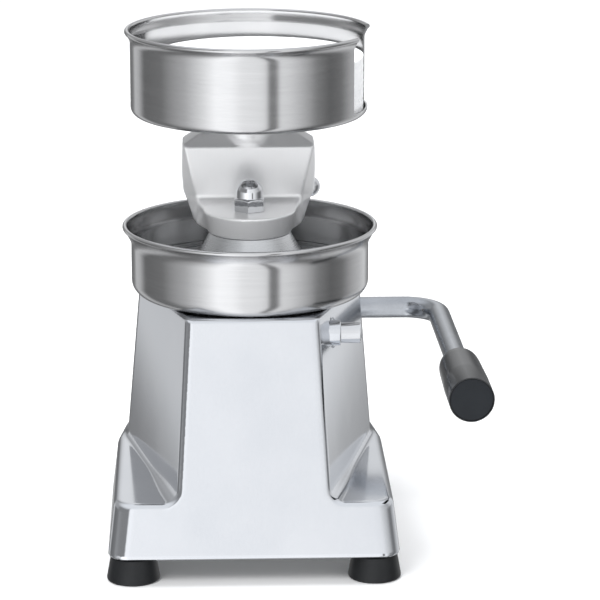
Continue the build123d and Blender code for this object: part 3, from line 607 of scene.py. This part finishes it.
def make_dish():
    centre = (0, 8.0, 0)
    corners = [(0.0, 280.5), (77.1, 280.5, 5.0), (77.1, 328.5, 7.0), (79.3, 333.4)]
    dish = lathe("paper_dish_steel", sheet_profile(corners), centre, steps=192, sharp_deg=50)
    gap_mid, gap_half = math.radians(-10.0), math.radians(20.5)
    low, high = 285.5, 340.0
    inner, outer = 72.1, 100.0
    steps = 24
    angles = [gap_mid - gap_half + 2 * gap_half * k / steps for k in range(steps + 1)]
    loop = [(outer * math.cos(a), outer * math.sin(a)) for a in angles]
    loop += [(inner * math.cos(a), inner * math.sin(a)) for a in reversed(angles)]
    n = len(loop)
    vertices = [(x, y + centre[1], z) for z in (low, high) for x, y in loop]
    faces = [tuple(reversed(range(n))), tuple(range(n, 2 * n))]
    faces += [(k, (k + 1) % n, n + (k + 1) % n, n + k) for k in range(n)]
    cut(dish, add_mesh("gap", vertices, faces))
    dish.data.set_sharp_from_angle(angle=math.radians(50))
    place(dish, "head", STEEL, "stainless", "paper_dish")


def make_mould():
    profile = rounded_path([(9.5, 164.2), (76.1, 164.2, 9.0), (76.1, 180.0, 1.0), (65.0, 180.0, 1.0),
                            (65.0, 167.0, 0.8), (9.5, 167.0)], 6)
    place(lathe("mould_ring", profile, steps=160), "base", TURNED, "turned_aluminium", "patty_mould")


def make_press_plate():
    slope = math.tan(math.radians(30))
    foot = 26.4 + (202.8 - 180.0) * slope
    profile = rounded_path([(0.0, 175.0), (63.5, 175.0, 0.6), (63.5, 180.0, 1.2), (foot, 180.0, 3.0),
                            (26.4, 202.8, 0.4), (0.0, 202.8)], 6)
    place(lathe("press_plate_turned", profile, steps=160), "head", TURNED, "turned_aluminium", "press_plate")


# ---- head -------------------------------------------------------------------------
FACE_Y = 29.0
LEDGE = 217.1
HEAD_LOW = 202.8
HEAD_TOP = 261.0
HINGE_Y, HINGE_Z = 98.0, 211.0
BLOCK = [(0.0, HEAD_LOW), (36.0, HEAD_LOW), (39.8, 212.0), (43.5, 220.5), (44.5, 238.0), (43.6, 254.6),
         (32.0, HEAD_TOP), (0.0, HEAD_TOP)]
BLOCK_REAR = [(0.0, 214.5), (28.0, 214.5), (33.0, 216.5), (37.0, 221.0), (41.0, 238.0), (41.0, 254.0),
              (28.0, HEAD_TOP), (0.0, HEAD_TOP)]
ARM = [(0.0, 211.0), (24.0, 211.0), (25.0, 212.5), (25.0, 215.0), (25.0, 220.5), (24.0, 222.5), (18.0, 223.0),
       (0.0, 223.0)]


def lofted(p, near, far, y_near, y_far):
    """A convex outline that changes evenly from one y to another."""
    share = np.clip((p[:, 1] - y_near) / (y_far - y_near), 0, 1)
    fields = edge_fields(np.abs(p[:, 0]), p[:, 2], between(near, far, share))
    result = fields[0]
    for field in fields[1:]:
        result = round_max(result, field, 0.9)
    return round_max(result, np.maximum(y_near - p[:, 1], p[:, 1] - y_far), 0.2)


def nose_field(p):
    """The rounded tongue over the press plate, its sides flaring towards the rear."""
    x, y = np.abs(p[:, 0]), p[:, 1]
    rise = np.clip((p[:, 2] - HEAD_LOW) / (LEDGE - HEAD_LOW), 0, 1)
    half, length, centre = 27.5 + 3.0 * rise, 29.4 + 3.6 * rise, 3.0 + 2.0 * rise
    front = (np.hypot(x / half, (y - centre) / length) - 1) * half
    low = np.interp(y, [3.0, 21.5, 37.0], [27.5, 34.7, 36.0])
    high = np.interp(y, [5.0, 29.0, 37.0], [30.5, 34.3, 38.0])
    side = (x - low - (high - low) * rise) * 0.96
    outline = np.where(y < centre, front, side)
    flat = np.maximum(HEAD_LOW - p[:, 2], p[:, 2] - LEDGE)
    return np.maximum(round_max(outline, flat, 0.9), y - FACE_Y - 12)


def tilted(p, through, normal):
    """How far points lie outside a plane, on either side of the middle alike."""
    spot = np.stack([np.abs(p[:, 0]) - through[0], p[:, 1] - through[1], p[:, 2] - through[2]], -1)
    return spot @ (np.array(normal) / np.linalg.norm(normal))


def head_field(p):
    x, y, z = np.abs(p[:, 0]), p[:, 1], p[:, 2]
    body = lofted(p, BLOCK, BLOCK, 20.0, 56.0)
    body = round_max(body, tilted(p, (34.3, FACE_Y, LEDGE), (285.6, -196.9, -64.0)), 0.7)
    body = round_max(body, tilted(p, (0.0, FACE_Y, 252.8), (0.0, -0.68, 0.73)), 0.7)
    body = round_max(body, FACE_Y - y, 0.8)
    body = round_min(body, lofted(p, BLOCK, BLOCK_REAR, 55.9, 68.0), 0.2)
    body = round_min(body, lofted(p, BLOCK_REAR, ARM, 67.9, 84.5), 0.2)
    body = round_min(body, nose_field(p), 4.0)
    ears = np.maximum(rod(p, 0, (0, HINGE_Y, HINGE_Z), 12.0, -25.0, 25.0, 0.8), 12.4 - x)
    cheeks = np.maximum.reduce([np.abs(y - 89.0) - 9.0, 211.5 - z, z - 223.0, x - 25, 12.4 - x])
    body = round_min(body, np.minimum(ears, cheeks), 0.6)
    body = round_min(body, rod(p, 2, (0, 47.0, 0), 17.0, HEAD_TOP - 6, 280.5, 0.6), 3.5)
    slot = np.maximum(x - 12.4, 84.8 - y)
    body = round_max(body, -slot, 0.4)
    body = round_max(body, -rod(p, 0, (0, HINGE_Y, HINGE_Z), 5.02, -40, 40), 0.2)
    return round_max(body, -rod(p, 2, (0, 0, 0), 6.3, 190, 230), 0.2)


def make_head():
    cell = 0.9
    piece = field_mesh("head_casting", head_field, (-44.6, -28.1, 199.0), (44.6, 110.1, 280.6), cell)
    place(piece, "head", HEAD_PAINTED_BRIGHT, "cast_aluminium", "head_block")


# ---- nuts -------------------------------------------------------------------------
def hexagon(u, v, across):
    return np.maximum.reduce([np.abs(u * math.cos(a) + v * math.sin(a))
                              for a in (0, math.pi / 3, 2 * math.pi / 3)]) - across / 2


def acorn_field(across, hex_top, dome, total, bore, depth):
    """A domed nut standing on h = 0 and pointing along +h, as a field of (u, v, h)."""
    def field(u, v, h):
        faces = hexagon(u, v, across)
        radius = np.hypot(u, v)
        crown = (radius - across / 2) * 0.5 + (h - hex_top) * 0.866
        body = round_max(round_max(faces, crown, 0.3), np.maximum(-h, h - hex_top), 0.3)
        ball = np.hypot(radius, h - (total - dome)) - dome
        taper = dome + 0.033 * np.maximum(total - dome - h, 0)
        shank = np.maximum(radius - taper, np.maximum(-h, h - (total - dome)))
        cap = np.minimum(ball, shank)
        cap = np.maximum(cap, 1.0 - h)
        solid = round_min(body, cap, 0.5)
        return np.maximum(solid, -np.maximum(radius - bore, h - depth))
    return field


def make_stud_nut():
    shape = acorn_field(19.0, 8.5, 8.9, 20.5, 6.0, 12.0)
    turn = math.radians(-6.0)

    def field(p):
        u = p[:, 0] * math.cos(turn) + p[:, 1] * math.sin(turn)
        v = p[:, 1] * math.cos(turn) - p[:, 0] * math.sin(turn)
        return shape(u, v, p[:, 2] - LEDGE)

    piece = field_mesh("stud_domed_nut", field, (-11, -11, LEDGE), (11, 11, LEDGE + 20.5), 0.4)
    place(piece, "head", CHROME, "chromed_steel", "stud_acorn_nut")


def make_hinge_hardware():
    seat, jam = 26.5, 4.5
    shape = acorn_field(16.0, 8.0, 7.0, 19.0, 5.02, 11.0)

    def dome(p):
        return shape(p[:, 1] - HINGE_Y, p[:, 2] - HINGE_Z, p[:, 0] - seat - jam)

    def jam_nut(p):
        u, v, h = p[:, 1] - HINGE_Y, p[:, 2] - HINGE_Z, p[:, 0] - seat
        radius = np.hypot(u, v)
        bevel = np.maximum((radius - 8.0) * 0.5 + (h - jam) * 0.866, (radius - 8.0) * 0.5 - h * 0.866)
        solid = round_max(round_max(hexagon(u, v, 16.0), bevel, 0.2), np.maximum(-h, h - jam), 0.2)
        return np.maximum(solid, 5.02 - radius)

    def pin(p):
        u, v, h = p[:, 1] - HINGE_Y, p[:, 2] - HINGE_Z, -p[:, 0] - seat
        radius = np.hypot(u, v)
        bevel = (radius - 8.0) * 0.5 + (h - 6.4) * 0.866
        head = round_max(round_max(hexagon(u, v, 16.0), bevel, 0.3), np.maximum(-h, h - 6.4), 0.3)
        shank = round_max(radius - 5.0, np.maximum(h - 1, -h - 2 * seat - jam - 10), 0.5)
        return np.minimum(head, shank)

    low, high = np.array([0, HINGE_Y - 9.5, HINGE_Z - 9.5]), np.array([0, HINGE_Y + 9.5, HINGE_Z + 9.5])
    cell = 0.45
    for name, field, x0, x1, node in (("hinge_domed_nut", dome, 31.0, 50.0, "hinge_acorn_nut"),
                                      ("hinge_thin_nut", jam_nut, 26.5, 31.0, "hinge_jam_nut"),
                                      ("hinge_hex_pin", pin, -32.9, 41.0, "hinge_pin")):
        piece = field_mesh(name, field, low + [x0, 0, 0], high + [x1, 0, 0], cell)
        place(piece, "head", CHROME, "chromed_steel", node)


# ---- paper ------------------------------------------------------------------------
def make_paper():
    """The stack: many thin discs, each a little off the one below."""
    rng = np.random.default_rng(7)
    low, high, layers = 283.7, 318.7, 56
    middle, largest = np.array([5.0, 8.0]), 69.2
    steps = 120
    gap = (high - low) / layers
    angles = np.arange(steps) * 2 * math.pi / steps
    rings = []
    for k in range(layers):
        shift = rng.normal(0, 0.16, 2)
        for part, inset in ((0.08, 0.25), (0.3, 0.0), (0.75, 0.0), (0.97, 0.25)):
            radius = largest - inset
            rings.append(np.stack([middle[0] + shift[0] + radius * np.cos(angles),
                                   middle[1] + shift[1] + radius * np.sin(angles),
                                   np.full(steps, low + gap * (k + part))], -1))
    top = rings[-1]
    for share in (0.97, 0.8, 0.5, 0.2):
        ring = top.copy()
        ring[:, :2] = middle + (top[:, :2] - middle) * share
        ring[:, 2] += 0.15 * (1 - share) + 0.10 * np.sin(angles * 2 + 1.0) * share
        rings.append(ring)
    discs = add_mesh("paper_discs", np.concatenate(rings), tube_faces(len(rings), steps), 40)
    place(discs, "head", PAPER, "paper", "paper_stack")


# ---- lever ------------------------------------------------------------------------
ARM_REAR, ARM_FRONT = np.array([133.0, SHAFT_Y]), np.array([137.8, -105.0])
SPLAY = math.atan2(ARM_FRONT[0] - ARM_REAR[0], ARM_REAR[1] - ARM_FRONT[1])
GRIP_END = (ARM_FRONT[0], ARM_FRONT[1], SHAFT_Z)


def make_lever():
    inside = ARM_FRONT + 8.0 * np.array([-math.sin(SPLAY), math.cos(SPLAY)])
    corners = [(-45.0, SHAFT_Y), (*ARM_REAR, 24.0), inside]
    path = rounded_path(corners, 28)
    dense = []
    for a, b in zip(path, path[1:]):
        pieces = max(1, int(np.linalg.norm(b - a) // 12))
        dense += [a + (b - a) * k / pieces for k in range(pieces)]
    dense.append(path[-1])
    bar = sweep("lever_round_bar", [(x, y, SHAFT_Z) for x, y in dense], 7.5)
    place(bar, "lever", PLATED, "plated_steel", "lever_bar")


def make_grip():
    length = 80.0
    profile = rounded_path([(7.52, 2.5), (13.8, 2.5), (13.8, 0.0, 0.2), (14.6, 0.0, 0.4), (14.6, 32.0, 60.0),
                            (13.7, length - 9.0, 30.0), (13.2, length - 2.0, 4.0), (10.4, length, 2.2),
                            (7.52, length)], 8)
    grip = lathe("grip_sleeve", profile, GRIP_END, axis="Y", steps=96, turn=SPLAY)
    place(grip, "lever", GRIP, "black_plastic", "grip")
    cap = rounded_path([(0.0, 0.35), (13.7, 0.35, 0.5), (13.7, 2.4, 0.2), (7.0, 2.4), (7.0, 7.0, 0.4),
                        (0.0, 7.0)], 5)
    disc = lathe("grip_end_disc", cap, GRIP_END, axis="Y", steps=96, turn=SPLAY)
    place(disc, "lever", CAP, "matt_black_plastic", "grip_end_cap")


def make_fulcrum_pin():
    radius = 6.72
    profile = rounded_path([(0.0, -46.5), (radius, -46.5, 0.5), (radius, 70.6, 1.0), (0.0, 70.6)], 6)
    pin = lathe("fulcrum_cross_pin", profile, (0, FULCRUM_Y, FULCRUM_Z), axis="X", steps=64)
    place(pin, "base", CHROME, "chromed_steel", "fulcrum_pin")


# ---- the CAD nodes that stay ---------------------------------------------------------
def dress_cad_nodes():
    slots = {s["node"]: s["material_slot"] for s in frame["record"]["subparts"]}
    for name, node in nodes.items():
        node.data.materials.clear()
        node.data.materials.append(SLOT_MATERIALS[slots[name]])


# ---- studio -------------------------------------------------------------------------
def make_camera():
    data = bpy.data.cameras.new("camera")
    data.sensor_width = 36.0
    data.lens = 188.3
    data.clip_end = 100.0
    camera = bpy.data.objects.new("camera", data)
    bpy.context.scene.collection.objects.link(camera)
    camera.location = ((AXIS[0] - 37.0) * MM, (AXIS[1] - 2001.0) * MM, 0.676)
    camera.rotation_euler = (math.radians(90 - 14.56), 0, math.radians(-2.0))
    bpy.context.scene.camera = camera


def make_floor():
    s = Shader("studio_floor", Specular_IOR_Level=0.2)
    fine = s.noise(s.place(), 3.0, 2.0)
    s.use(Base_Color=s.colours(fine, (0.90, 0.90, 0.90), (0.915, 0.915, 0.915)),
          Roughness=s.ranged(fine, 0.55, 0.65))
    size = 12.0
    mesh = bpy.data.meshes.new("floor")
    corners = [(-size, -size, 0), (size, -size, 0), (size, size, 0), (-size, size, 0)]
    mesh.from_pydata(corners, [], [(0, 1, 2, 3)])
    mesh.materials.append(s.material)
    floor = bpy.data.objects.new("floor", mesh)
    bpy.context.scene.collection.objects.link(floor)
    floor.visible_glossy = False


def make_light(name, place_m, aim_m, size, watts):
    data = bpy.data.lights.new(name, "AREA")
    data.shape = "RECTANGLE"
    data.size, data.size_y = size
    data.energy = watts
    light = bpy.data.objects.new(name, data)
    bpy.context.scene.collection.objects.link(light)
    light.visible_glossy = False
    light.location = place_m
    light.rotation_euler = (Vector(aim_m) - Vector(place_m)).to_track_quat("-Z", "Y").to_euler()


def bearing_ramp(tree, bearing, stops):
    """Brightness by bearing: degrees from the front, minus to the left, plus to the right."""
    ramp = tree.nodes.new("ShaderNodeValToRGB")
    tree.links.new(bearing, ramp.inputs["Fac"])
    elements = ramp.color_ramp.elements
    while len(elements) > 1:
        elements.remove(elements[-1])
    for k, (degrees, value) in enumerate(stops):
        spot = elements[0] if k == 0 else elements.new((degrees + 180) / 360)
        spot.position = (degrees + 180) / 360
        spot.color = (value, value * 1.01, value * 1.025, 1)
    return ramp.outputs["Color"]


def blend(tree, low, high, value, start, stop):
    """From one colour to another while a value goes from start to stop."""
    share = tree.nodes.new("ShaderNodeMapRange")
    share.interpolation_type = "SMOOTHSTEP"
    share.inputs["From Min"].default_value = start
    share.inputs["From Max"].default_value = stop
    tree.links.new(value, share.inputs["Value"])
    mix = tree.nodes.new("ShaderNodeMix")
    mix.data_type = "RGBA"
    tree.links.new(share.outputs[0], mix.inputs["Factor"])
    tree.links.new(low, mix.inputs[6])
    if isinstance(high, tuple):
        mix.inputs[7].default_value = high
    else:
        tree.links.new(high, mix.inputs[7])
    return mix.outputs[2]


def make_world():
    """A white tent with grey panels beside and behind the part, which give the metal its bands."""
    world = bpy.data.worlds.new("studio")
    bpy.context.scene.world = world
    world.use_nodes = True
    tree = world.node_tree
    coord = tree.nodes.new("ShaderNodeTexCoord")
    split = tree.nodes.new("ShaderNodeSeparateXYZ")
    tree.links.new(coord.outputs["Generated"], split.inputs[0])
    front = tree.nodes.new("ShaderNodeMath")
    front.operation = "MULTIPLY"
    front.inputs[1].default_value = -1.0
    tree.links.new(split.outputs["Y"], front.inputs[0])
    turn = tree.nodes.new("ShaderNodeMath")
    turn.operation = "ARCTAN2"
    tree.links.new(split.outputs["X"], turn.inputs[0])
    tree.links.new(front.outputs[0], turn.inputs[1])
    bearing = tree.nodes.new("ShaderNodeMapRange")
    bearing.inputs["From Min"].default_value = -math.pi
    bearing.inputs["From Max"].default_value = math.pi
    tree.links.new(turn.outputs[0], bearing.inputs["Value"])
    low = bearing_ramp(tree, bearing.outputs[0], [
        (-180, 0.50), (-174, 0.45), (-167, 0.16), (-153, 0.25), (-147, 0.68), (-136, 0.62),
        (-124, 0.18), (-95, 0.24), (-84, 0.40),
        (-66, 0.62), (-48, 1.10), (-33, 1.60), (-18, 1.50), (-8, 1.25), (10, 1.15), (16, 1.05), (18.5, 0.22),
        (25.5, 0.25), (29, 1.08), (40, 0.95), (56, 0.60), (68, 0.30), (84, 0.16), (100, 0.22), (116, 0.52),
        (147, 0.85), (153, 0.46), (167, 0.16), (174, 0.45), (180, 0.50)])
    high = bearing_ramp(tree, bearing.outputs[0], [
        (-180, 0.90), (-172, 0.70), (-163, 0.36), (-152, 0.45), (-112, 0.42), (-90, 0.28), (-29, 0.27),
        (-22, 1.20), (-6, 1.20), (4, 1.06), (30, 1.0), (60, 0.70), (90, 0.45), (112, 0.75), (152, 0.80),
        (163, 0.36), (172, 0.70), (180, 0.90)])
    height = split.outputs["Z"]
    sides = blend(tree, low, high, height, 0.02, 0.20)
    tent = blend(tree, sides, (0.95, 0.97, 1.0, 1), height, 0.5, 0.9)
    background = tree.nodes["Background"]
    tree.links.new(tent, background.inputs["Color"])


def make_studio():
    make_camera()
    make_floor()
    make_world()
    make_light("key", (-1.2, -1.8, 2.0), (0, 0, 0.15), (1.2, 1.2), 42)
    make_light("top", (0.0, 0.6, 2.6), (0, 0, 0.1), (2.0, 2.0), 60)
    bpy.context.scene.view_settings.view_transform = "Standard"


make_studio()
make_base()
make_feet()
make_lower_bowl()
make_dish()
make_mould()
make_press_plate()
make_head()
make_stud_nut()
make_hinge_hardware()
make_paper()
make_lever()
make_grip()
make_fulcrum_pin()
dress_cad_nodes()
